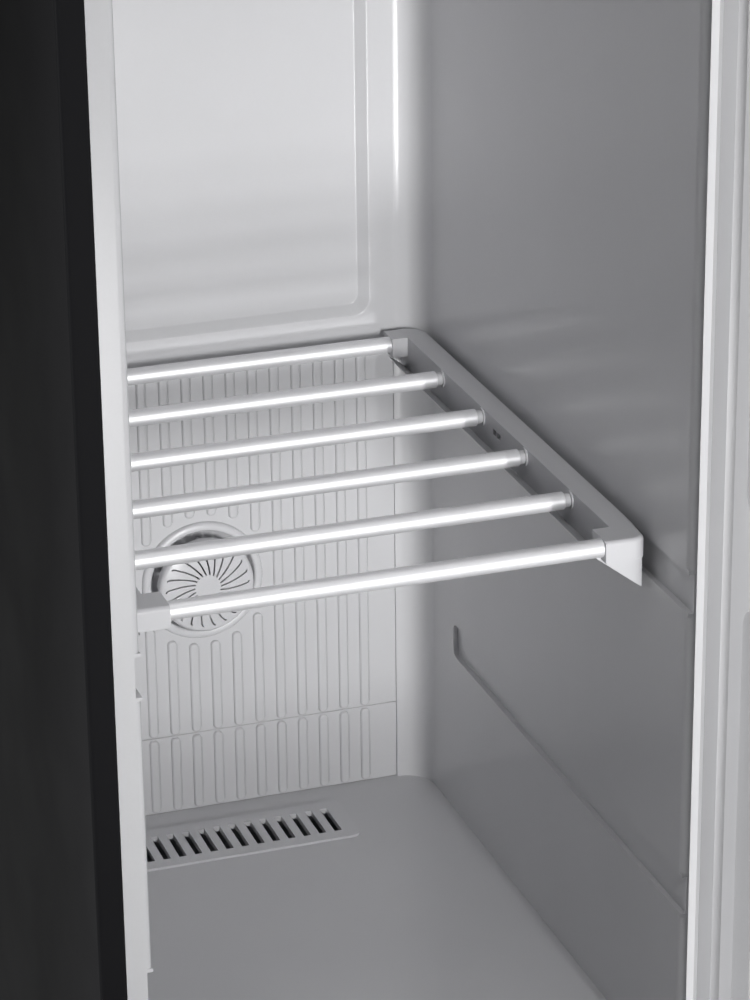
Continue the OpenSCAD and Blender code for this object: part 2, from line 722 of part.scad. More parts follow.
module refrigerant_pipes() {
    e = evaporator_port;
    c = condenser_port;
    c_x = duct_half + 16;
    e_x = c_x + 14;
    top = comp_z + comp_h + 12;
    side = comp_z + 171;
    placed() color("#b5703f") {
        pipe_run([c, [c_x, c[1], c[2]], [c_x, c[1], top + 35], [c_x, comp_at[1], top + 35],
            [comp_at[0], comp_at[1], top + 35], [comp_at[0], comp_at[1], top]], pipe_r);
        pipe_run([e, [e_x, e[1], e[2]], [e_x, e[1], side + 30],
            [e_x, comp_at[1] - comp_r - 18, side + 30], [comp_at[0], comp_at[1] - comp_r - 18, side + 30],
            [comp_at[0], comp_at[1] - comp_r - 18, side]], pipe_r);
        pipe_run([[-c[0], c[1], e[2]], [-c[0] - 18, c[1], e[2]], [-e[0] - 18, e[1], e[2]],
            [-e[0], e[1], e[2]]], pipe_r);
    }
}

fan_z = coil_z;
module fan_housing() {
    placed() color("#4a4b4e") translate([fan_at[0], fan_at[1], fan_z]) difference() {
        union() {
            cylinder(h = 56, r = house_r);
            translate([4, 0, 0]) cube([house_r - 4, duct_y[1] - duct_t - 1 - fan_at[1], 56]);
        }
        translate([0, 0, 2.5]) cylinder(h = 51, r = house_r - 2.5);
        translate([6.5, 0, 2.5]) cube([house_r - 9, 300, 51]);
        translate([0, 0, 50]) cylinder(h = 10, r = fan_r * 0.65);
        translate([0, 0, -1]) cylinder(h = 5, r = 8);
    }
}

module fan_motor() {
    placed() color("#8f9296") translate([fan_at[0], fan_at[1], duct_z]) difference() {
        union() {
            translate([0, 0, -50]) cylinder(h = 44, r = 31);
            translate([0, 0, -6 - eps]) cylinder(h = 6, r = 38);
        }
        translate([0, 0, -44]) cylinder(h = 60, r = 4 + run);
    }
}

module fan_wheel() {
    placed() color("#2b2c2e") translate([fan_at[0], fan_at[1], 0]) {
        rod_z([0, 0, duct_z - 43], 43 + 46, 4);
        rod_z([0, 0, fan_z + 6], 36, 12);
        rod_z([0, 0, fan_z + 6], 2.5, fan_r);
        for (i = [0 : blade_n - 1]) rotate([0, 0, i * 360 / blade_n]) translate([fan_r - 13, 0, fan_z + 8])
            rotate([0, 0, 25]) cube([12, 1.5, 34]);
        difference() {
            rod_z([0, 0, fan_z + 41], 4, fan_r);
            rod_z([0, 0, fan_z + 40], 6, fan_r - 10);
        }
    }
}

module drain_pump() {
    placed() color("#6a6c70") translate([-20, 255, base_z + base_t]) {
        cylinder(h = 46, r = 26);
        translate([0, 0, 46 - eps]) cylinder(h = 44, r = 19);
        rod_y([0, 20, 22], 26, 6);
        rod_x([-46, 0, 30], 26, 6);
    }
}

box_t = 2;
box_size = [36, 120, 210];
box_at = [half_w - sheet_t - gap - box_size[0], 200, 90];
module control_box() {
    placed() color("#d9d9d2") translate(box_at) difference() {
        cube(box_size);
        translate([-box_t, box_t, box_t])
            cube([box_size[0], box_size[1] - 2 * box_t, box_size[2] - 2 * box_t]);
    }
}

// Board on four posts, with relays, capacitors and a heat sink on its inner side
module control_board() {
    x = box_size[0] - box_t - 6;
    w = box_size[1] - 2 * box_t - 4;
    h = box_size[2] - 2 * box_t - 4;
    placed() color("#1f5a33") translate(box_at + [0, box_t + 2, box_t + 2]) {
        translate([x, 0, 0]) cube([1.6, w, h]);
        for (y = [4, w - 4], z = [4, h - 4]) rod_x([x + 1.5, y, z], 4.5, 2.5);
        for (i = [0 : 3]) translate([x - 18, 8 + i * w / 4.5, 26]) cube([18 + eps, 16, 25]);
        for (i = [0 : 2]) rod_x([x - 22, 21 + i * w / 3.3, h / 2 - 5], 22 + eps, 12);
        translate([x - 14, 12, h - 66]) cube([14 + eps, 84, 44]);
    }
}

module cord_gland() {
    placed() color("#141415") difference() {
        union() {
            rod_y([gland_at[0], rear_y - 14, gland_at[1]], rear_t + 15.6, 9);
            rod_y([gland_at[0], rear_y - 2.2, gland_at[1]], 2, 13);
            rod_y([gland_at[0], cabinet_d + 0.1, gland_at[1]], 1.5, 13);
        }
        rod_y([gland_at[0], rear_y - 20, gland_at[1]], 40, 4);
    }
}

module upper_hinge() {
    placed() color("#85888c") difference() {
        union() {
            translate([0, 0, cabinet_h]) linear_extrude(plate_t) {
                polygon([[pivot_x - 37.5, 60], [half_w - 6, 60], [pivot_x + 8.5, -pivot_out],
                    [pivot_x - 8.5, -pivot_out], [pivot_x - 27.5, -4]]);
                translate([pivot_x, -pivot_out]) circle(8.5);
            }
            rod_z([pivot_x, -pivot_out, door_top - 14], cabinet_h - door_top + 15, pin_r);
        }
        for (p = top_screws) rod_z([p[0], p[1], cabinet_h - 1], 6, 2.7);
    }
}

module lower_hinge() {
    placed() color("#85888c") difference() {
        union() {
            translate([0, 0, crossbar_z]) linear_extrude(plate_t) {
                polygon([[pivot_x - 35.5, 32], [lip_x - 0.5, 32], [lip_x - 0.5, -2],
                    [pivot_x + 6.5, -pivot_out], [pivot_x - 6.5, -pivot_out], [pivot_x - 31.5, -2]]);
                translate([pivot_x, -pivot_out]) circle(6.5);
            }
            rod_z([pivot_x, -pivot_out, crossbar_z + 1], door_z0 + 14 - crossbar_z - 1, pin_r);
        }
        for (p = low_screws) rod_z([p[0], p[1], crossbar_z - 1], 6, 2.7);
    }
}

module hinge_cover() {
    placed() color("#161617") translate([pivot_x - 14, 14, cabinet_h]) difference() {
        linear_extrude(12) round_rect(60, 108, 8);
        translate([0, 0, -1]) linear_extrude(10.5) round_rect(56, 104, 6);
    }
}

module screw(p, z) {
    rod_z([p[0], p[1], z - 9], 9 + eps, 2.5);
    rod_z([p[0], p[1], z], 2.5, 4.5);
}

module hinge_screws() {
    placed() color("#a9abae") {
        for (p = top_screws) screw(p, cabinet_h + plate_t);
        for (p = low_screws) screw(p, crossbar_z + plate_t);
    }
}

module rear_screws() {
    placed() color("#a9abae") for (s = [-1, 1], z = screw_z) {
        rod_y([s * screw_x, rear_y - 5, z], rear_t + 5 + eps, 1.9);
        rod_y([s * screw_x, cabinet_d, z], 2, 4);
    }
}

out_x = wall_x - bracket_gap;
in_x = out_x - bracket_w;
rod_n = floor((inner_d - 21.9 - rod_y) / rod_pitch) + 1;
last_y = rod_y + (rod_n - 1) * rod_pitch;
front_y = rod_y - rod_d / 2 - 2.25;
rear_end = last_y + rod_d / 2 + 6.5;
bracket_t = 2.4;
band_low = -25;
tip_low = -33;
sleeve_low = -rod_d / 2 - 2;
gusset_y = rod_y;
gusset_in = 6;
groove_mid = groove_z[0] - shelf_z;
band_step = -10;
peg_in = 12;
rear_r = corner_r - 8.5;

// Plan of the right bracket: a shallow C whose outer corners are round
module bracket_plan() {
    difference() {
        union() {
            translate([in_x, front_y]) square([bracket_w, rear_end - front_y]);
            translate([in_x - sleeve_l - gusset_in, front_y]) square([sleeve_l + gusset_in + 1, 25]);
            translate([in_x - sleeve_l - gusset_in, last_y - rod_d / 2 - 2])
                square([sleeve_l + gusset_in + 1, rear_end - last_y + rod_d / 2 + 2]);
        }
        difference() {
            translate([out_x - bracket_r, front_y - 1]) square(bracket_r + 1);
            translate([out_x - bracket_r, front_y + bracket_r]) circle(bracket_r);
        }
        difference() {
            translate([out_x - rear_r, rear_end - rear_r]) square(rear_r + 1);
            translate([out_x - rear_r, rear_end - rear_r]) circle(rear_r);
        }
    }
}

module bracket_solid(z0, z1) {
    translate([0, 0, z0]) linear_extrude(z1 - z0) bracket_plan();
}

// The rail's section, open below: top, inner wall and outer wall
module rail_section() {
    polygon([[in_x + 0.8, band_low], [in_x + 0.8, band_step - 0.8], [in_x, band_step],
        [in_x, bracket_up], [out_x, bracket_up], [out_x, tip_low],
        [out_x - bracket_t, tip_low + 1.8], [out_x - bracket_t, bracket_up - bracket_t],
        [in_x + bracket_t, bracket_up - bracket_t], [in_x + bracket_t, band_low - 1]]);
}

module end_gusset(y) {
    translate([0, y, 0]) rotate([90, 0, 0]) translate([0, 0, -bracket_t]) linear_extrude(bracket_t)
        polygon([[in_x - sleeve_l, bracket_up], [in_x - sleeve_l, 0], [in_x - sleeve_l - gusset_in, 0],
            [in_x - sleeve_l - gusset_in, -5.5], [out_x, tip_low], [out_x, bracket_up]]);
}

module shelf_bracket() {
    placed() color("#d4d4d8") translate([0, 0, shelf_z]) difference() {
        union() {
            intersection() {
                translate([0, rear_end, 0]) rotate([90, 0, 0])
                    linear_extrude(rear_end - gusset_y - 1) rail_section();
                bracket_solid(tip_low - 1, bracket_up + 1);
            }
            intersection() {
                union() {
                    block([in_x - sleeve_l, front_y, sleeve_low], [out_x, front_y + 25, bracket_up]);
                    block([in_x - sleeve_l, last_y - rod_d, sleeve_low], [out_x, rear_end, bracket_up]);
                    end_gusset(gusset_y);
                    end_gusset(rear_end - bracket_t - 0.5);
                }
                bracket_solid(tip_low - 1, bracket_up + 1);
            }
            for (i = [1 : rod_n - 2]) {
                rod_x([in_x - 1.2, rod_y + i * rod_pitch, 0], 2, rod_d / 2 + 0.3);
                rod_x([in_x - stub_l - peg_in, rod_y + i * rod_pitch, 0], stub_l + peg_in + 1, peg_r);
            }
            block([out_x - 1, 100, groove_mid - groove_h / 2 + gap],
                [wall_x + groove_d - 0.5, groove_end - 17, groove_mid + groove_h / 2 - 2]);
        }
        for (i = [0, rod_n - 1])
            rod_x([in_x - sleeve_l - gusset_in - 1, rod_y + i * rod_pitch, 0],
                sleeve_l + gusset_in + 11, rod_d / 2 + run);
        block([in_x - 1, gusset_y + bracket_t, tip_low],
            [in_x + bracket_t + 1, gusset_y + 15, band_step - 3]);
        for (y = [0, 9]) block([in_x - 1, rod_y + 2.56 * rod_pitch + y, -6],
            [in_x + bracket_t + 1, rod_y + 2.56 * rod_pitch + y + 7, -1.5]);
        block([in_x - sleeve_l + 2, rod_y + rod_d / 2 + 2.5, sleeve_low - 1],
            [in_x - 1, front_y + 22.5, bracket_up - bracket_t]);
    }
}
module shelf_bracket_right() { shelf_bracket(); }
module shelf_bracket_left() { mirror([1, 0, 0]) shelf_bracket(); }

// The first and last rod go through the sleeves, the others stand on the brackets' pegs
module shelf_rods() {
    half = in_x - stub_l;
    placed() color("#f0f0f2") for (i = [0 : rod_n - 1]) translate([0, rod_y + i * rod_pitch, shelf_z])
        if (i == 0 || i == rod_n - 1) rod_x([-in_x - 8, 0, 0], 2 * in_x + 16, rod_d / 2);
        else difference() {
            rod_x([-half, 0, 0], 2 * half, rod_d / 2);
            for (x = [-half - 1, half - peg_in - 1]) rod_x([x, 0, 0], peg_in + 2, peg_r + run);
        }
}

cap_h = 16;
grip = [14, 13, 16];

// Plan of the closed door's outline from the front to depth y1
module door_plan(inset, y1, rear_r) {
    w = half_w - inset;
    r = door_r - inset;
    y0 = door_out + inset;
    translate([-w, y0 + r]) square([2 * w, y1 - y0 - r - rear_r]);
    translate([-w + r, y0]) square([2 * (w - r), y1 - y0 - rear_r]);
    translate([-w + rear_r, y0 + r]) square([2 * (w - rear_r), y1 - y0 - r]);
    for (s = [-1, 1]) {
        translate([s * (w - r), y0 + r]) circle(r);
        if (rear_r > 0) translate([s * (w - rear_r), y1 - rear_r]) circle(rear_r);
    }
}

module grip_plan(grow) {
    translate([-half_w - 1, door_out + grip[2] - grow]) square([grip[0] + 1 + grow, grip[1] + 2 * grow]);
}

skin_y = door_in - door_rim_r - 3;
foam_y = door_in - 9;
module door_outer_panel() {
    on_door() color("#1a1a1b") translate([0, 0, door_z0 + cap_h])
        linear_extrude(door_top - door_z0 - 2 * cap_h) difference() {
            door_plan(0, skin_y, 0);
            difference() {
                door_plan(sheet_t, skin_y + 1, 0);
                grip_plan(sheet_t);
            }
            grip_plan(0);
        }
}

module door_end_caps() {
    on_door() color("#d7d7da") difference() {
        for (z = [door_z0, door_top - cap_h]) translate([0, 0, z]) linear_extrude(cap_h)
            door_plan(0, door_in, door_rim_r);
        for (z = [door_z0 - 1, door_top - cap_h - 1])
            rod_z([pivot_x, -pivot_out, z], cap_h + 2, 8 + run);
    }
}

module door_bushes() {
    on_door() color("#e8e6df") difference() {
        for (z = [[door_z0, crossbar_z + plate_t + gap, door_z0],
            [door_top - cap_h, door_top, cabinet_h - gap]]) {
            rod_z([pivot_x, -pivot_out, z[0]], cap_h, 8);
            rod_z([pivot_x, -pivot_out, z[1]], z[2] - z[1], 10);
        }
        rod_z([pivot_x, -pivot_out, door_z0 - 10], 3000, pin_r + run);
    }
}

// A round-cornered plate that lies off outside the clear mouth of the cabinet, at depth y
module mouth_plate(off, y, r) {
    translate([0, y, mouth_mid]) rotate([90, 0, 0]) translate([0, 0, -0.01]) linear_extrude(0.01)
        round_rect(inner_w + 2 * off, ceiling_z - floor_z + 2 * off, r, $fn = 32);
}

module mouth_block(off, y0, y1, r) {
    translate([0, y1, mouth_mid]) rotate([90, 0, 0]) linear_extrude(y1 - y0)
        round_rect(inner_w + 2 * off, ceiling_z - floor_z + 2 * off, r);
}

seal_out = half_w - wall_x - door_rim;
seal_in = seal_out - seal_w;
ridge_out = seal_in - 4;
pocket_off = ridge_out - ridge_w - pocket_in;
pocket_z = [[floor_z + 40, shelf_z + 16], [shelf_z + 76, mouth_mid + 190],
    [mouth_mid + 250, ceiling_z - 40]];
module door_liner() {
    z0 = door_z0 + cap_h;
    h = door_top - door_z0 - 2 * cap_h;
    on_door() color("#e6e6ea") difference() {
        union() {
            translate([0, 0, z0]) linear_extrude(h) difference() {
                door_plan(0, door_in, door_rim_r);
                translate([-half_w - 1, door_out - 1]) square([2 * half_w + 2, skin_y - door_out + 1]);
                translate([-half_w + liner_t, skin_y - 1])
                    square([2 * (half_w - liner_t), door_in - liner_t - skin_y + 1]);
            }
            hull() {
                mouth_plate(seal_in - 1, door_in - eps, 14);
                mouth_plate(ridge_out, door_in + ridge_h, 10);
            }
            mouth_block(ridge_out - ridge_w + 6, door_in - 8.5, door_in - 1, 10);
        }
        hull() {
            mouth_plate(ridge_out - ridge_w + 1, door_in + ridge_h + 3, 10);
            mouth_plate(ridge_out - ridge_w - 1, door_in + 4, 8);
        }
        for (z = pocket_z) hull() {
            translate([0, 0, (z[0] + z[1]) / 2 - mouth_mid]) {
                pocket_plate(z, 0, door_in + 4.1, 16);
                pocket_plate(z, -8, door_in - 5, 10);
            }
        }
    }
}

module pocket_plate(z, off, y, r) {
    translate([0, y, mouth_mid]) rotate([90, 0, 0]) linear_extrude(0.01)
        round_rect(inner_w + 2 * (pocket_off + off), z[1] - z[0] + 2 * off, r, $fn = 32);
}

module door_seal() {
    on_door() color("#cfcfd4") difference() {
        union() {
            mouth_block(seal_out, door_in, door_in + 6, 16);
            hull() {
                mouth_plate(seal_out, door_in + 6 - eps, 16);
                mouth_plate(seal_out - 7, door_in + 9.5, 12);
            }
        }
        hull() {
            mouth_plate(seal_in, door_in - 1, 12);
            mouth_plate(seal_in + 0.2, door_in + 6, 12);
        }
        hull() {
            mouth_plate(seal_in, door_in + 5.9, 12);
            mouth_plate(seal_in + 3, door_in + 10.5, 13);
        }
    }
}

module door_foam() {
    on_door() color("#f2eee2")
        block([-half_w + grip[0] + sheet_t + gap, door_out + sheet_t + gap, door_z0 + cap_h + gap],
            [half_w - door_r, foam_y - gap, door_top - cap_h - gap]);
}

touch_z = 1260;
module touch_panel() {
    on_door() color("#0c0c0e") translate([0, door_out, touch_z]) rotate([90, 0, 0])
        linear_extrude(1) round_rect(70, 200, 6);
}

tank_y = 6;
tank_z = bay_z + bay_wall + gap;
lid_z = tank_z + tank_h;
module tank(s) {
    translate([s * tank_cx, tank_y + tank_d / 2, tank_z]) difference() {
        linear_extrude(tank_h) round_rect(tank_w, tank_d, 12);
        translate([0, 0, tank_t]) linear_extrude(tank_h)
            round_rect(tank_w - 2 * tank_t, tank_d - 2 * tank_t, 12 - tank_t);
    }
}

// Lid and front of a tank in one moulding, with a finger recess in the front
module tank_lid(s) {
    translate([s * tank_cx, 0, 0]) difference() {
        union() {
            translate([0, tank_y + tank_d / 2, lid_z]) linear_extrude(5) round_rect(tank_w, tank_d, 12);
            translate([0, tank_y + tank_d / 2, lid_z - 6])
                linear_extrude(6 + eps) round_rect(tank_w - 6, tank_d - 6, 9);
            block([-tank_w / 2, -6, tank_z + 0.7], [tank_w / 2, tank_y - gap, tank_z + front_h]);
            block([-tank_w / 2, -6, lid_z], [tank_w / 2, tank_y + 12, lid_z + 5]);
            translate([0, tank_y + tank_d / 2, lid_z]) cylinder(h = 14, r = 22);
        }
        translate([0, tank_y + tank_d / 2, lid_z - 9]) linear_extrude(9)
            round_rect(tank_w - 12, tank_d - 12, 8);
        block([-42, -7, tank_z + front_h - 46], [42, 1, tank_z + front_h - 14]);
    }
}
module supply_tank() { placed() color([0.75, 0.85, 0.92, 0.6]) tank(-1); }
module drain_tank() { placed() color([0.6, 0.62, 0.65, 0.7]) tank(1); }
module supply_tank_lid() { placed() color("#e4e4e7") tank_lid(-1); }
module drain_tank_lid() { placed() color("#e4e4e7") tank_lid(1); }

module lint_filter() {
    w = filter_w - 2;
    d = filter_d - 2;
    placed() color("#4c4d51") translate([0, filter_y + filter_d / 2, floor_z]) difference() {
        union() {
            translate([0, 0, gap]) linear_extrude(2) round_rect(w + 12, d + 12, 8);
            translate([0, 0, -28]) linear_extrude(29) round_rect(w, d, 5);
        }
        translate([0, 0, -26]) linear_extrude(40) round_rect(w - 5, d - 5, 3);
        translate([0, 0, -27]) slot_row(16, 13, [9, d - 12, 20]);
    }
}

left_side_panel();
right_side_panel();
top_panel();
rear_cover();
base_tray();
front_crossbar();
kick_plate();
levelling_feet();
inner_liner();
insulation_boards();
ribbed_back_panel();
lower_back_panel();
outlet_ring();
outlet_cap();
steam_nozzle();
steam_pipe();
floor_grille();
lamp_lens();
hanger_housing();
slide_rods();
hanger_motor();
crank_disc();
hanger_carriage();
tank_bay();
bay_fascia();
air_duct();
evaporator();
condenser();
fan_housing();
fan_motor();
fan_wheel();
steam_generator();
generator_lid();
compressor();
compressor_grommets();
refrigerant_pipes();
drain_pump();
control_box();
control_board();
cord_gland();
upper_hinge();
lower_hinge();
hinge_cover();
hinge_screws();
rear_screws();
shelf_bracket_left();
shelf_bracket_right();
shelf_rods();
door_outer_panel();
door_liner();
door_seal();
door_foam();
door_end_caps();
door_bushes();
touch_panel();
supply_tank();
drain_tank();
supply_tank_lid();
drain_tank_lid();
lint_filter();
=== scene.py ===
import json
from math import cos, hypot, radians, sin

import bmesh
import bpy
from mathutils import Matrix, Vector


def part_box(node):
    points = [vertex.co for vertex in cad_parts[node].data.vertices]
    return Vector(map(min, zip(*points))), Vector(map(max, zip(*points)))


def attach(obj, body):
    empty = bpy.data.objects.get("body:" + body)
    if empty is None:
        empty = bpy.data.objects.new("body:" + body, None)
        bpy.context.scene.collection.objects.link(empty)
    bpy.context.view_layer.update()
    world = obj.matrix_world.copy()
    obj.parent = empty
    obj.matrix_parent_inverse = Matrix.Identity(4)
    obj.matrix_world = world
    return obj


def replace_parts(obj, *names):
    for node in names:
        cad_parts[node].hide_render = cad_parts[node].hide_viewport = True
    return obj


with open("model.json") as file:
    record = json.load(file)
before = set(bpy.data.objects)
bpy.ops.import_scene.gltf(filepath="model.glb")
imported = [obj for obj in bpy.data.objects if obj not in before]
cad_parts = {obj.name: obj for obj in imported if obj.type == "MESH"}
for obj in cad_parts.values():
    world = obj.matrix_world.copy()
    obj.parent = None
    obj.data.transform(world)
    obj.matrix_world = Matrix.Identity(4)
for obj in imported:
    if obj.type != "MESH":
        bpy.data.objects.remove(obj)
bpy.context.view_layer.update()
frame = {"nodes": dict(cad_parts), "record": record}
nodes = frame["nodes"]
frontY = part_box("left_side_panel")[0].y * 1000  # the cabinet's front plane, in mm
print("frame loaded:", len(nodes), "nodes")


def at(x, y, z):  # millimetres in the cabinet's own frame, Y from its front plane
    return Vector((x, y + frontY, z)) / 1000


def inMm(vertex):  # the other way round
    return vertex.co.x * 1000, vertex.co.y * 1000 - frontY, vertex.co.z * 1000


def toLinear(hexColour):
    parts = [int(hexColour[i:i + 2], 16) / 255 for i in (1, 3, 5)]
    return [c / 12.92 if c <= 0.04045 else ((c + 0.055) / 1.055) ** 2.4 for c in parts] + [1]


def addNode(tree, kind, settings=None, links=None):
    node = tree.nodes.new(kind)
    for key, value in (settings or {}).items():
        if isinstance(key, int) or key in node.inputs:
            node.inputs[key].default_value = value
        else:
            setattr(node, key, value)
    for key, source in (links or {}).items():
        tree.links.new(source, node.inputs[key])
    return node


# grain and patch: sizes of the fine and the broad pattern in mm; stretch: how much longer the pattern is
# along each axis; depth: height of the fine relief in mm; spread: how far the roughness varies
def makeFinish(name, colour, tint, roughness, spread=0.06, grain=1.0, depth=0.02, stretch=(1, 1, 1),
               patch=90, pattern="noise", **shader):
    material = bpy.data.materials.new(name)
    material.use_nodes = True
    tree = material.node_tree
    tree.nodes.clear()
    place = addNode(tree, "ShaderNodeTexCoord").outputs["Object"]
    if stretch != (1, 1, 1):
        place = addNode(tree, "ShaderNodeMapping", {"Scale": [1 / s for s in stretch]},
                        {"Vector": place}).outputs[0]
    if pattern == "spangle":
        fine = addNode(tree, "ShaderNodeTexVoronoi", {"Scale": 1000 / grain, "Randomness": 1.0},
                       {"Vector": place}).outputs["Color"]
        fine = addNode(tree, "ShaderNodeSeparateColor", {}, {"Color": fine}).outputs["Red"]
    else:
        fine = addNode(tree, "ShaderNodeTexNoise", {"Scale": 1000 / grain, "Detail": 3.0,
                                                    "Roughness": 0.55}, {"Vector": place}).outputs["Fac"]
    broad = addNode(tree, "ShaderNodeTexNoise", {"Scale": 1000 / patch, "Detail": 2.0},
                    {"Vector": place}).outputs["Fac"]
    half = addNode(tree, "ShaderNodeMath", {"operation": "MULTIPLY", 1: 0.5}, {0: broad}).outputs[0]
    both = addNode(tree, "ShaderNodeMath", {"operation": "MULTIPLY_ADD", 1: 0.5},
                   {0: fine, 2: half}).outputs[0]
    hue = addNode(tree, "ShaderNodeMix", {"data_type": "RGBA", 6: toLinear(colour), 7: toLinear(tint)},
                  {0: addNode(tree, "ShaderNodeMapRange", {"From Min": 0.3, "From Max": 0.7},
                              {"Value": both}).outputs[0]}).outputs[2]
    gloss = addNode(tree, "ShaderNodeMapRange", {"From Min": 0.3, "From Max": 0.7,
                    "To Min": roughness - spread, "To Max": roughness + spread}, {"Value": both}).outputs[0]
    bump = addNode(tree, "ShaderNodeBump", {"Strength": 1.0, "Distance": depth / 1000},
                   {"Height": fine}).outputs[0]
    surface = addNode(tree, "ShaderNodeBsdfPrincipled", shader,
                      {"Base Color": hue, "Roughness": gloss, "Normal": bump})
    addNode(tree, "ShaderNodeOutputMaterial", {}, {"Surface": surface.outputs[0]})
    return material


finishes = {
    # powder coated sheet steel: nearly matt black that mirrors little, with the coat's faint orange peel
    "casing_paint": makeFinish("powderCoatedSteelBlack", "#161618", "#19191b", 0.56, 0.05, 0.9, 0.006,
                               **{"Specular IOR Level": 0.06}),
    # hot dip galvanised sheet: grey spangles about 8 mm across, each with its own gloss
    "galvanised_steel": makeFinish("galvanisedSteelSheet", "#a3a8ad", "#c3c7cb", 0.42, 0.12, 8, 0.004,
                                   pattern="spangle", Metallic=1.0),
    # zinc plated pressed steel: even grey with faint rolling lines
    "plated_steel": makeFinish("zincPlatedSteel", "#a4a8ac", "#bcbfc2", 0.36, 0.08, 0.5, 0.003, (12, 1, 1),
                               Metallic=1.0),
    # nickel plated screws: bright and nearly smooth
    "screw_steel": makeFinish("nickelPlatedSteel", "#b9b7b0", "#cfcdc6", 0.24, 0.06, 0.6, 0.002,
                              Metallic=1.0),
    # vacuum formed polystyrene: pale, satin, a little uneven from the mould
    "liner_plastic": makeFinish("vacuumFormedPolystyrene", "#cacacc", "#cdcdcf", 0.22, 0.03, 1.4, 0.002,
                                IOR=1.59, **{"Specular IOR Level": 0.36}),
    # moulded ABS: pale grey with a fine spark eroded grain, the brackets duller than the panels
    "trim_plastic": makeFinish("mouldedAbsGrey", "#cbcbce", "#d0d0d2", 0.26, 0.04, 0.5, 0.003, IOR=1.54),
    "bracket_plastic": makeFinish("mouldedAbsBracket", "#c0c0c3", "#c4c4c6", 0.4, 0.05, 0.5, 0.006, IOR=1.54),
    # silver polyester powder coat with fine aluminium flake on steel rod: a broad even white sheen
    "rod_coating": makeFinish("silverFlakePowderCoat", "#e0e0e2", "#e8e8ea", 0.44, 0.03, 0.7, 0.002, patch=60,
                              Metallic=0.45),
    # the door liner: the same sheet as the cabinet's and more satin; its colour is painted a shade greyer as
    # painted shade, standing in for the dimmer light on its face beside the seal
    "door_plastic": makeFinish("vacuumFormedPolystyreneDoorPaintedShade", "#adadaf", "#b1b1b3", 0.36, 0.04, 1.4, 0.004,
                               IOR=1.59),
    # soft PVC gasket: matt, with a slight bloom
    "seal_rubber": makeFinish("softPvcGasket", "#ececee", "#f0f0f1", 0.5, 0.06, 0.4, 0.008, IOR=1.53),
    # cut polystyrene foam: matt beads about 3 mm across
    "foam": makeFinish("expandedPolystyrene", "#ece8db", "#f6f2e7", 0.8, 0.05, 3, 0.35, pattern="spangle"),
    "bush_plastic": makeFinish("acetalBush", "#dedcd3", "#e6e4dc", 0.38, 0.05, 0.5, 0.005, IOR=1.48),
    # tempered glass printed black from behind: deep and sharp
    "panel_glass": makeFinish("temperedBlackGlass", "#08080a", "#0b0b0d", 0.06, 0.02, 30, 0.002, IOR=1.52),
    # moulded polypropylene in dark greys: matt grain
    "dark_plastic": makeFinish("mouldedPolypropyleneDark", "#383a3e", "#3f4146", 0.5, 0.06, 0.6, 0.015,
                               IOR=1.49),
    "black_plastic": makeFinish("mouldedPolypropyleneBlack", "#151516", "#1b1b1c", 0.5, 0.06, 0.6, 0.015,
                                IOR=1.49),
    "foot_rubber": makeFinish("nitrileRubberFoot", "#101011", "#18181a", 0.7, 0.06, 0.5, 0.03, IOR=1.52),
    "duct_plastic": makeFinish("mouldedPolypropyleneDuct", "#b9bbc0", "#c4c6ca", 0.5, 0.06, 0.8, 0.015,
                               IOR=1.49),
    # rolled fin stock with its blue gold hydrophilic coat
    "fin_aluminium": makeFinish("coatedFinAluminium", "#c5ae82", "#d6c196", 0.34, 0.08, 0.4, 0.004, (1, 1, 10),
                                Metallic=1.0),
    # die cast aluminium: grainy and soft
    "cast_aluminium": makeFinish("dieCastAluminium", "#a3a5a9", "#b8babd", 0.5, 0.1, 0.8, 0.03, Metallic=1.0),
    "motor_steel": makeFinish("turnedMotorSteel", "#94979b", "#aeb0b3", 0.34, 0.08, 0.3, 0.004, (1, 1, 14),
                              Metallic=1.0),
    # enamelled compressor shell: glossy black with a little orange peel
    "compressor_paint": makeFinish("enamelledSteelShell", "#1b1c1f", "#232428", 0.28, 0.06, 2.5, 0.02),
    "copper": makeFinish("drawnCopperTube", "#b5703f", "#c98a58", 0.34, 0.1, 3, 0.006, patch=40, Metallic=1.0),
    "steam_tube": makeFinish("siliconeHose", "#b5b7ba", "#c1c3c6", 0.5, 0.06, 0.8, 0.015, IOR=1.43),
    # ground and chromed guide rods, and the plated hanger bar
    "guide_steel": makeFinish("chromedGuideSteel", "#c6c9cd", "#d6d8da", 0.14, 0.04, 0.3, 0.001, (12, 1, 1),
                              Metallic=1.0),
    "hanger_steel": makeFinish("satinChromedSteel", "#bdc0c4", "#cfd1d3", 0.28, 0.06, 0.4, 0.002, (12, 1, 1),
                               Metallic=1.0),
    "crank_plastic": makeFinish("glassFilledNylon", "#b3ac95", "#c0baa4", 0.46, 0.06, 0.6, 0.012, IOR=1.53),
    # opal acrylic over the lamp: soft, a little light goes into it
    "lamp_diffuser": makeFinish("opalAcrylic", "#f3f3f5", "#f9f9fa", 0.3, 0.04, 20, 0.002, IOR=1.49),
    # moulded SAN tanks, one clear and one smoked: light passes, edges stay visible
    "clear_plastic": makeFinish("clearSan", "#dbe9f2", "#e3eef5", 0.1, 0.03, 20, 0.002, IOR=1.57,
                                **{"Transmission Weight": 0.85}),
    "smoke_plastic": makeFinish("smokedSan", "#6b6f75", "#747980", 0.12, 0.03, 20, 0.002, IOR=1.57,
                                **{"Transmission Weight": 0.75}),
    "filter_plastic": makeFinish("mouldedFilterFrame", "#4a4b4f", "#525357", 0.5, 0.06, 0.5, 0.015, IOR=1.49),
    "circuit_board": makeFinish("solderMaskedLaminate", "#1c5230", "#246338", 0.34, 0.06, 1.2, 0.02, IOR=1.55),
}
slotOf = {part["node"]: part["material_slot"] for part in frame["record"]["subparts"]}
for name, node in nodes.items():
    node.data.materials.clear()
    node.data.materials.append(finishes[slotOf[name]])
print("finishes:", len(finishes))

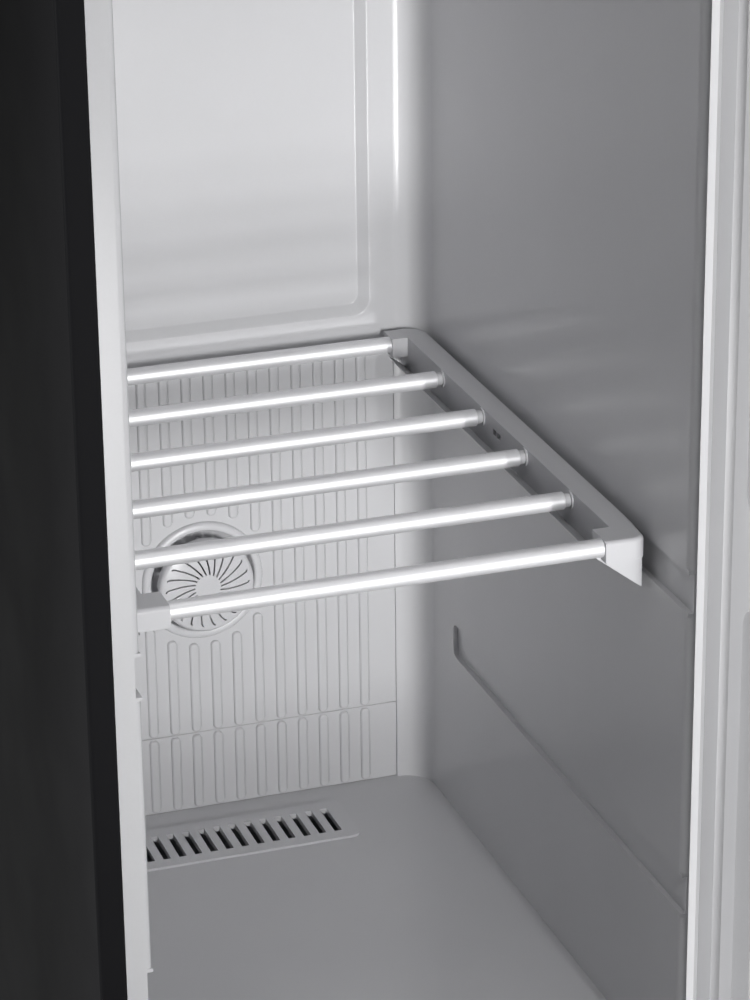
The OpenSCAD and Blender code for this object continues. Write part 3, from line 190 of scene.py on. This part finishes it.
sharpAngle = 35  # edges steeper than this many degrees stay sharp in the shading


def keep(bm, name, like, body, sharp=sharpAngle):
    mesh = bpy.data.meshes.new(name)
    bm.to_mesh(mesh)
    bm.free()
    piece = bpy.data.objects.new(name, mesh)
    bpy.context.scene.collection.objects.link(piece)
    mesh.materials.append(finishes[slotOf[like]])
    mesh.polygons.foreach_set("use_smooth", [True] * len(mesh.polygons))
    mesh.set_sharp_from_angle(angle=radians(sharp))
    piece.modifiers.new("evenShade", "WEIGHTED_NORMAL").keep_sharp = True
    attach(piece, body)
    return piece


# a bmesh cut by another, both used up
def carved(shape, cutter):
    pair = []
    for source in (shape, cutter):
        mesh = bpy.data.meshes.new("blank")
        source.to_mesh(mesh)
        source.free()
        pair.append(bpy.data.objects.new("blank", mesh))
        bpy.context.scene.collection.objects.link(pair[-1])
    cut = pair[0].modifiers.new("cut", "BOOLEAN")
    cut.object, cut.operation, cut.solver = pair[1], "DIFFERENCE", "EXACT"
    result = bmesh.new()
    result.from_object(pair[0], bpy.context.evaluated_depsgraph_get())
    for blank in pair:
        mesh = blank.data
        bpy.data.objects.remove(blank)
        bpy.data.meshes.remove(mesh)
    return result


# adds a finished bmesh to another
def addShape(bm, part):
    mesh = bpy.data.meshes.new("part")
    part.to_mesh(mesh)
    part.free()
    bm.from_mesh(mesh)
    bpy.data.meshes.remove(mesh)


def box(low, high):  # millimetres in the cabinet's own frame
    bm = bmesh.new()
    middle, size = (at(*low) + at(*high)) / 2, at(*high) - at(*low)
    bmesh.ops.create_cube(bm, size=1, matrix=Matrix.Translation(middle) @ Matrix.Diagonal((*size, 1)))
    return bm


def bevelled(bm, edges, width, segments):
    return bmesh.ops.bevel(bm, geom=edges, offset=width / 1000, offset_type="OFFSET", segments=segments,
                           profile=0.5, affect="EDGES", clamp_overlap=True, material=-1)


# a profile of (radius, depth) points in mm, turned round the steam outlet's axis; closed joins its ends
def turned(profile, closed, steps=120):
    bm = bmesh.new()
    points = [bm.verts.new(at(r, y, outletZ)) for r, y in profile]
    lines = [bm.edges.new(pair) for pair in zip(points, points[1:] + points[:1])][:len(points) - 1 + closed]
    bmesh.ops.spin(bm, geom=points + lines, cent=at(0, 0, outletZ), axis=(0, 1, 0), angle=radians(360),
                   steps=steps, use_merge=True)
    bmesh.ops.remove_doubles(bm, verts=bm.verts, dist=1e-6)
    bmesh.ops.recalc_face_normals(bm, faces=bm.faces)
    return bm


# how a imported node's copy is merged before its edges are rounded
merging = dict(distance=2e-6, flatAngle=0.6)
plain = (3, 28)  # segments and least angle in degrees of an ordinary small edge


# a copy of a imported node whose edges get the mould's or press's small radii;
# a pass is a test of the edge's two ends in mm, a width in mm, segments and the least angle in degrees;
# change works on the merged copy, last on the rounded one
def softened(node, name, body, passes, change=None, last=None):
    bm = bmesh.new()
    bm.from_mesh(nodes[node].data)
    bmesh.ops.remove_doubles(bm, verts=bm.verts, dist=merging["distance"])
    bmesh.ops.dissolve_limit(bm, angle_limit=radians(merging["flatAngle"]), verts=bm.verts, edges=bm.edges)
    if change:
        bm = change(bm)
    for test, width, segments, least in passes:
        bevelled(bm, [e for e in bm.edges if len(e.link_faces) == 2
                      and e.calc_face_angle(0) > radians(least) and test(*[inMm(v) for v in e.verts])],
                 width, segments)
    if last:
        last(bm)
    piece = keep(bm, name, node, body)
    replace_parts(piece, node)


def everyEdge(a, b):
    return True


# the brackets' front and its round corner have a full radius at the top, the rest a small one;
# heights count from the rods' middle, distances to the rear from the front plane
shelf = dict(rodEnd=0.8, bracketEdge=0.7, noseRadius=3.2, noseSegments=5, noseDepth=9.2, wall=2.4,
             gussetBehind=8.75, gussetInner=138, sleeveOuter=186, sleeveLow=8.5, rear=520, bottom=-60,
             trimAhead=5, trimPast=0.2, trimBehind=0.9, trimHigh=0, trimWall=178.8, trimLow=-31.2,
             trayIn=148, trayHigh=-7, trayOut=179.5, trayLow=-31.1, trayEnd=478, trayCut=152,
             trayRear=505, trayThick=0.8, trayEdge=0.25, trayBehind=1)
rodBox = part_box("shelf_rods")
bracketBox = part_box("shelf_bracket_right")
shelfZ = (rodBox[0].z + rodBox[1].z) / 2 * 1000
bracketTop, bracketFront = bracketBox[1].z * 1000, bracketBox[0].y * 1000 - frontY
gussetY = bracketFront + shelf["gussetBehind"]
near = 0.1  # mm within which a point counts as lying on a plane


def onNose(*ends):
    return all(abs(z - bracketTop) < near and y < bracketFront + shelf["noseDepth"] for x, y, z in ends)


# a solid from a bmesh that holds one face, drawn out along a vector in mm
def drawnOut(bm, vector):
    made = bmesh.ops.extrude_face_region(bm, geom=list(bm.faces))["geom"]
    bmesh.ops.translate(bm, verts=[g for g in made if isinstance(g, bmesh.types.BMVert)],
                        vec=Vector(vector) / 1000)
    bmesh.ops.recalc_face_normals(bm, faces=bm.faces)
    return bm


def prism(outline, low, high):  # (x, z) points from the shelf's height, drawn out along Y
    bm = bmesh.new()
    bm.faces.new([bm.verts.new(at(x, low, shelfZ + z)) for x, z in outline])
    return drawnOut(bm, (0, high - low, 0))


# below the slope from the front plate's inner corner to the wall nothing hangs down
def trimBelow(side):
    inner, wall, bottom = side * shelf["gussetInner"], side * shelf["trimWall"], shelf["bottom"]
    slope = ((inner, shelf["trimHigh"]), (wall, shelf["trimLow"]), (wall, bottom), (inner, bottom))
    return prism(slope, gussetY + shelf["trimBehind"], shelf["rear"])


def trimRight(bm):
    return carved(bm, trimBelow(1))


# the photo's left bracket has no gusset under its front sleeve
def trimLeft(bm):
    bm = carved(bm, trimBelow(-1))
    outer, inner, high = -shelf["sleeveOuter"], -shelf["gussetInner"], -shelf["sleeveLow"]
    low = ((outer, high), (inner, high), (inner, shelf["bottom"]), (outer, shelf["bottom"]))
    return carved(bm, prism(low, bracketFront - shelf["trimAhead"], gussetY + shelf["wall"] + shelf["trimPast"]))


# the right bracket's thin sloping tray, from under the rods down to the wall
def addTray(bm):
    inner, outer, front = shelf["trayIn"], shelf["trayOut"], gussetY + shelf["trayBehind"]
    slope = (shelf["trayLow"] - shelf["trayHigh"]) / (outer - inner)
    outline = ((inner, front), (inner, shelf["trayEnd"]), (shelf["trayCut"], shelf["trayRear"]),
               (outer, shelf["trayRear"]), (outer, front))
    tray = bmesh.new()
    tray.faces.new([tray.verts.new(at(x, y, shelfZ + shelf["trayHigh"] + slope * (x - inner)))
                    for x, y in outline])
    drawnOut(tray, (0, 0, -shelf["trayThick"]))
    bevelled(tray, list(tray.edges), shelf["trayEdge"], segments=2)
    addShape(bm, tray)


softened("shelf_rods", "shelfRods", "shelf", [(everyEdge, shelf["rodEnd"], *plain)])
for side, trim, last in (("left", trimLeft, None), ("right", trimRight, addTray)):
    softened("shelf_bracket_" + side, "shelfBracket" + side.title(), "shelf",
             [(onNose, shelf["noseRadius"], shelf["noseSegments"], plain[1]),
              (everyEdge, shelf["bracketEdge"], *plain)], change=trim, last=last)
print("shelf")

# the recessed field has tight corners and a steep crisp slope: each of its two contours goes from the
# CAD's half width, low and high edge and corner radius to the new ones; the lower grooves move too
liner = dict(innerD=525, wallX=187, edge=1.5, fieldEdge=0.7, fieldAngle=12, fieldTop=1700, fieldReach=146,
             fieldAbove=10,
             fields=(dict(y=525, half=145, low=22, high=0, radius=24, newHalf=143, newLow=19.5, newHigh=0,
                          newRadius=13),
                     dict(y=531, half=134, low=33, high=11, radius=15, newHalf=135, newLow=27.5, newHigh=8,
                          newRadius=8)),
             grooveDrop=221, groovePlay=17, grooveTurn=415, grooveClear=20, newGrooveDrop=238.5,
             newGrooveTurn=442, grooveCorner=0.5)


def moveField(v, f):
    x, y, z = inMm(v)
    low, high = shelfZ + f["low"], liner["fieldTop"] - f["high"]
    if abs(y - f["y"]) > near or abs(x) > f["half"] + near or not low - near < z < high + near:
        return
    newLow, newHigh = shelfZ + f["newLow"], liner["fieldTop"] - f["newHigh"]
    side, upper = (1 if x > 0 else -1), z > (low + high) / 2
    centreX = side * (f["half"] - f["radius"])
    centreZ = high - f["radius"] if upper else low + f["radius"]
    newX = side * (f["newHalf"] - f["newRadius"])
    newZ = newHigh - f["newRadius"] if upper else newLow + f["newRadius"]
    scale = f["newRadius"] / f["radius"]
    if min(abs(abs(x) - f["half"]), abs(z - low), abs(z - high),
           abs(hypot(x - centreX, z - centreZ) - f["radius"])) < 2 * near:
        v.co = at(newX + (x - centreX) * scale, y, newZ + (z - centreZ) * scale)


# the lower grooves: lower, longer and with a squarer end
def moveGroove(v):
    x, y, z = inMm(v)
    drop = z - (shelfZ - liner["grooveDrop"])
    atGroove = abs(x) > liner["wallX"] - near and abs(drop) < liner["groovePlay"]
    if not atGroove or y >= liner["innerD"] - liner["grooveClear"]:
        return
    back = y - liner["grooveTurn"]
    if back > near:
        reach, turn = hypot(back, drop), liner["grooveCorner"]
        y = liner["newGrooveTurn"] + reach * (back / reach) ** turn
        drop = (1 if drop > 0 else -1) * reach * (abs(drop) / reach) ** turn
    elif back > -near:
        y = liner["newGrooveTurn"]
    v.co = at(x, y, shelfZ - liner["newGrooveDrop"] + drop)


def reshapeWalls(bm):
    for v in bm.verts:
        for field in liner["fields"]:
            moveField(v, field)
    for v in bm.verts:
        moveGroove(v)
    return bm


def onField(*ends):
    return all(y > liner["innerD"] - near and abs(x) < liner["fieldReach"]
               and z > shelfZ + liner["fieldAbove"] for x, y, z in ends)


def offField(*ends):
    return not onField(*ends)


softened("inner_liner", "innerLiner", "cabinet",
         [(onField, liner["fieldEdge"], plain[0], liner["fieldAngle"]), (offField, liner["edge"], *plain)],
         change=reshapeWalls)
# the foam follows, so that it doesn't show through the moved grooves
softened("insulation_boards", "insulationBoards", "cabinet", [], change=reshapeWalls)

# half round ribs with rounded tips that stop short of the outlet's ring, each with a narrow valley
# along its right foot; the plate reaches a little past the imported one, which closes its shadow line
ribs = dict(pitch=18, count=16, width=7.6, height=2.2, side=1.9, sideSteps=4, tip=3.4, tipSteps=5,
            clear=54.5, overlap=0.25, foot=1, ledge=1.2, hole=46.5, drill=40, holeSteps=96, fit=0.3,
            plateEdge=0.2, valley=0.8, valleyDepth=0.8, valleyInside=0.3, valleyAhead=1)
panelBox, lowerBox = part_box("ribbed_back_panel"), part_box("lower_back_panel")
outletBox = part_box("outlet_ring")
outletZ = (outletBox[0].z + outletBox[1].z) / 2 * 1000


def frontEdges(bm, y):  # the edges that lie in the plane at y
    return [e for e in bm.edges if all(v.co.y < at(0, y + near, 0).y for v in e.verts)]


def rod(radius, length, segments, middle):  # a round bar along Y
    bm = bmesh.new()
    bmesh.ops.create_cone(bm, cap_ends=True, segments=segments, radius1=radius / 1000, radius2=radius / 1000,
                          depth=length / 1000,
                          matrix=Matrix.Translation(middle) @ Matrix.Rotation(radians(90), 4, "X"))
    return bm


def ribRuns(x, bottom, top, hole):  # from where to where the rib at x goes, on both sides of the hole
    reach = max(abs(x) - ribs["width"] / 2, 0)
    if not hole or reach >= ribs["clear"]:
        return [(bottom, top)]
    rise = (ribs["clear"] ** 2 - reach ** 2) ** 0.5
    return [(bottom, outletZ - rise), (outletZ + rise, top)]


def ribbedPanel(low, high, hole):
    x0, y0, z0 = low.x * 1000, low.y * 1000 - frontY, low.z * 1000
    x1, y1, z1 = high.x * 1000, high.y * 1000 - frontY, high.z * 1000
    face, half = y0 + ribs["height"], ribs["width"] / 2
    bm = box((x0 - ribs["fit"], face, z0), (x1 + ribs["fit"], y1, z1))
    bevelled(bm, frontEdges(bm, face), ribs["plateEdge"], segments=2)
    if hole:
        bm = carved(bm, rod(ribs["hole"], ribs["drill"], ribs["holeSteps"], at(0, face, outletZ)))
    valleys, bars = bmesh.new(), []
    for i in range(ribs["count"]):
        x = (i - (ribs["count"] - 1) / 2) * ribs["pitch"]
        for bottom, top in ribRuns(x, z0 + ribs["foot"], z1 - ribs["ledge"], hole):
            bar = box((x - half, y0, bottom), (x + half, face + ribs["overlap"], top))
            along = [e for e in bar.edges if abs(inMm(e.verts[0])[1] - inMm(e.verts[1])[1]) > near]
            bevelled(bar, along, ribs["tip"], ribs["tipSteps"])
            bevelled(bar, frontEdges(bar, y0), ribs["side"], ribs["sideSteps"])
            bars.append(bar)
            addShape(valleys, box(
                (x + half - ribs["valleyInside"], face - ribs["valleyAhead"], bottom + ribs["tip"]),
                (x + half + ribs["valley"], face + ribs["valleyDepth"], top - ribs["tip"])))
    bm = carved(bm, valleys)
    for bar in bars:
        addShape(bm, bar)
    return bm


for node, name, ends, hole in (("ribbed_back_panel", "ribbedBackPanel", panelBox, True),
                               ("lower_back_panel", "lowerBackPanel", lowerBox, False)):
    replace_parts(keep(ribbedPanel(*ends, hole), name, node, "cabinet"), node)

# the ring's flange lies on the panel; the cap is a thin shell on three pins with curved slits, which
# start straight at slitStart, lean and turn, and end in a small hook
outlet = dict(ring=50, seat=45.5, bore=42.5, cup=44, cupDepth=13, nozzle=14, floor=2.5,
              cap=39, capFront=14, slits=22, slitFrom=-20, slitTo=-8, slitWidth=1.25, slitStart=10.5,
              slitLean=14, slitRadius=65, slitTurn=20, slitSteps=6, hookRadius=2.4, hookTurn=65, hookSteps=4,
              slitPhase=-2, pins=3, pin=3, pinAt=30, pinFrom=2.6, pinTo=1.5, pinSteps=24, sharp=40)
depth = liner["innerD"]
back = depth + outlet["cupDepth"]
plate = depth + ribs["height"]
flange, bore = outlet["ring"], outlet["bore"]
# from the panel round the flange's soft front, down the bore to the cup's floor, and back outside
ring = turned([(flange, plate), (flange - 0.2, depth + 0.7), (flange - 0.8, depth - 0.3),
               (flange - 1.8, depth - 1.1), (flange - 3.2, depth - 1.5), (outlet["cup"] + 0.8, depth - 1.5),
               (outlet["cup"] - 0.4, depth - 1.1), (bore + 0.3, depth - 0.2), (bore, depth + 1.2),
               (bore, back - 2), (bore - 0.6, back - 0.6), (bore - 2, back), (outlet["nozzle"], back),
               (outlet["nozzle"], back + outlet["floor"]), (outlet["seat"], back + outlet["floor"]),
               (outlet["seat"], plate)], True)
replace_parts(keep(ring, "outletRing", "outlet_ring", "cabinet", outlet["sharp"]), "outlet_ring")


# one slit's face swept along its curve, then repeated round the axis
def slitBlades():
    blade = bmesh.new()
    lean, wide = radians(outlet["slitLean"]), outlet["slitWidth"] / 2
    start, end = depth + outlet["slitFrom"], depth + outlet["slitTo"]
    corners = [blade.verts.new(at(outlet["slitStart"] - sin(lean) * w, y, outletZ + cos(lean) * w))
               for w, y in ((-wide, start), (wide, start), (wide, end), (-wide, end))]
    swept = [blade.faces.new(corners)]
    for radius, turn, steps in ((outlet["slitRadius"], outlet["slitTurn"], outlet["slitSteps"]),
                                (outlet["hookRadius"], outlet["hookTurn"], outlet["hookSteps"])):
        tip = sum((v.co for f in swept for v in f.verts), Vector()) / 4
        centre = tip + Vector((-sin(lean), 0, cos(lean))) * radius / 1000
        turnGeom = swept + [e for f in swept for e in f.edges] + [v for f in swept for v in f.verts]
        made = bmesh.ops.spin(blade, geom=turnGeom, cent=centre, axis=(0, 1, 0), angle=-radians(turn),
                              steps=steps, use_duplicate=False)
        swept = [g for g in made["geom_last"] if isinstance(g, bmesh.types.BMFace)]
        lean += radians(turn)
    bmesh.ops.recalc_face_normals(blade, faces=blade.faces)
    mesh = bpy.data.meshes.new("blade")
    blade.to_mesh(mesh)
    blade.free()
    blades = bmesh.new()
    for i in range(outlet["slits"]):
        first = len(blades.verts)
        blades.from_mesh(mesh)
        blades.verts.ensure_lookup_table()
        bmesh.ops.rotate(blades, verts=blades.verts[first:], cent=at(0, 0, outletZ), matrix=Matrix.Rotation(
            -radians(outlet["slitPhase"] + i * 360 / outlet["slits"]), 3, "Y"))
    bpy.data.meshes.remove(mesh)
    return blades


front = depth - outlet["capFront"]
rim = outlet["cap"]
# from the middle over the shallow dome and round the rim, and back inside
cap = turned([(0, front - 0.9), (rim * 0.3, front - 0.7), (rim * 0.7, front - 0.1), (rim - 3, front + 0.6),
              (rim - 1.4, front + 1.3), (rim - 0.4, front + 2.5), (rim, front + 4.2), (rim, front + 9),
              (rim - 2.2, front + 9), (rim - 2.2, front + 4.6), (rim - 4, front + 3.4),
              (0, front + 2.2)], False)
cap = carved(cap, slitBlades())
pinFront, pinBack = front + outlet["pinFrom"], back + outlet["pinTo"]
for i in range(outlet["pins"]):
    turnBy = radians(i * 360 / outlet["pins"])
    addShape(cap, rod(outlet["pin"], pinBack - pinFront, outlet["pinSteps"],
                      at(outlet["pinAt"] * sin(turnBy), (pinBack + pinFront) / 2,
                         outletZ + outlet["pinAt"] * cos(turnBy))))
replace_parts(keep(cap, "outletCap", "outlet_cap", "cabinet", outlet["sharp"]), "outlet_cap")
print("liner, back panels and steam outlet")

door = dict(linerEdge=1.5, sealEdge=1.0)
softened("door_liner", "doorLiner", "door", [(everyEdge, door["linerEdge"], *plain)])
softened("door_seal", "doorSeal", "door", [(everyEdge, door["sealEdge"], *plain)])
print("door")

studio = dict(size=14, squares=8, dim=0.09, pale=0.9, air="#e8e8ea")
bm = bmesh.new()
bmesh.ops.create_grid(bm, x_segments=studio["squares"], y_segments=studio["squares"], size=studio["size"])
mesh = bpy.data.meshes.new("studioFloor")
bm.to_mesh(mesh)
bm.free()
floor = bpy.data.objects.new("studioFloor", mesh)
bpy.context.scene.collection.objects.link(floor)
mesh.materials.append(makeFinish("paintedStudioFloor", "#dcdcdc", "#e2e2e2", 0.6, 0.05, 3, 0.01))

# sizes in metres, power in watts, spread in degrees; the low and the high lamp stand in front of the
# right wall, which they graze, and their narrow beams leave the left edge of the mouth dimmer; the door
# lamp shines past the cabinet's front onto the open door
lamps = {
    "lowLamp": dict(place=(0.17, -2.4, 0.2), aim=(0.2, 0.3, 0.82), size=(0.1, 0.38), power=0.82, spread=30),
    "highLamp": dict(place=(0.16, -5.2, 1.9), aim=(0.25, 0.4, 1.12), size=(0.12, 1.4), power=4.5, spread=24),
    "doorLamp": dict(place=(-3.0, -0.03, 1.0), aim=(0.2, -0.3, 1.0), size=(0.14, 1.6), power=2.8, spread=14),
    "skyLamp": dict(place=(0, -0.6, 6), aim=(0, -0.5, 0), size=(5, 5), power=170),
    "rearLamp": dict(place=(1.5, 3.2, 2.4), aim=(0, 0.3, 0.9), size=(2, 2), power=40),
}
for name, lamp in lamps.items():
    light = bpy.data.lights.new(name, "AREA")
    light.shape = "RECTANGLE"
    light.size, light.size_y = lamp["size"]
    light.energy = lamp["power"]
    light.spread = radians(lamp.get("spread", 180))
    shining = bpy.data.objects.new(name, light)
    shining.location = lamp["place"]
    shining.rotation_mode = "QUATERNION"
    shining.rotation_quaternion = (Vector(lamp["aim"]) - Vector(lamp["place"])).to_track_quat("-Z", "Y")
    bpy.context.scene.collection.objects.link(shining)

world = bpy.data.worlds.new("studioAir")
bpy.context.scene.world = world
world.use_nodes = True
tree = world.node_tree
tree.nodes.clear()
path = addNode(tree, "ShaderNodeLightPath").outputs
seen = addNode(tree, "ShaderNodeMath", {"operation": "MAXIMUM"},
               {0: path["Is Camera Ray"], 1: path["Is Transmission Ray"]}).outputs[0]
dim, pale = (addNode(tree, "ShaderNodeBackground", {"Color": toLinear(studio["air"]),
                                                    "Strength": studio[name]}).outputs[0]
             for name in ("dim", "pale"))
addNode(tree, "ShaderNodeOutputWorld", {}, {"Surface": addNode(
    tree, "ShaderNodeMixShader", {}, {0: seen, 1: dim, 2: pale}).outputs[0]})

# the photo's solved viewpoint: metres and degrees, lens and sensor in mm
view = dict(place=(-0.6700, -1.9638, 1.7187), yaw=18.558, pitch=22.047, roll=-0.677, lens=123.61,
            sensor=36, far=60)
yaw, pitchDown, roll = (radians(view[k]) for k in ("yaw", "pitch", "roll"))
ahead = Vector((sin(yaw) * cos(pitchDown), cos(yaw) * cos(pitchDown), -sin(pitchDown)))
right = Vector((cos(yaw), -sin(yaw), 0))
up = right.cross(ahead)
right, up = cos(roll) * right + sin(roll) * up, -sin(roll) * right + cos(roll) * up
camera = bpy.data.objects.new("photoCamera", bpy.data.cameras.new("photoCamera"))
camera.data.sensor_width = view["sensor"]
camera.data.lens = view["lens"]
camera.data.clip_end = view["far"]
camera.matrix_world = Matrix((
    (right.x, up.x, -ahead.x, view["place"][0]),
    (right.y, up.y, -ahead.y, view["place"][1]),
    (right.z, up.z, -ahead.z, view["place"][2]),
    (0, 0, 0, 1)))
bpy.context.scene.collection.objects.link(camera)
bpy.context.scene.camera = camera
bpy.context.scene.view_settings.view_transform = "Standard"
print("studio")
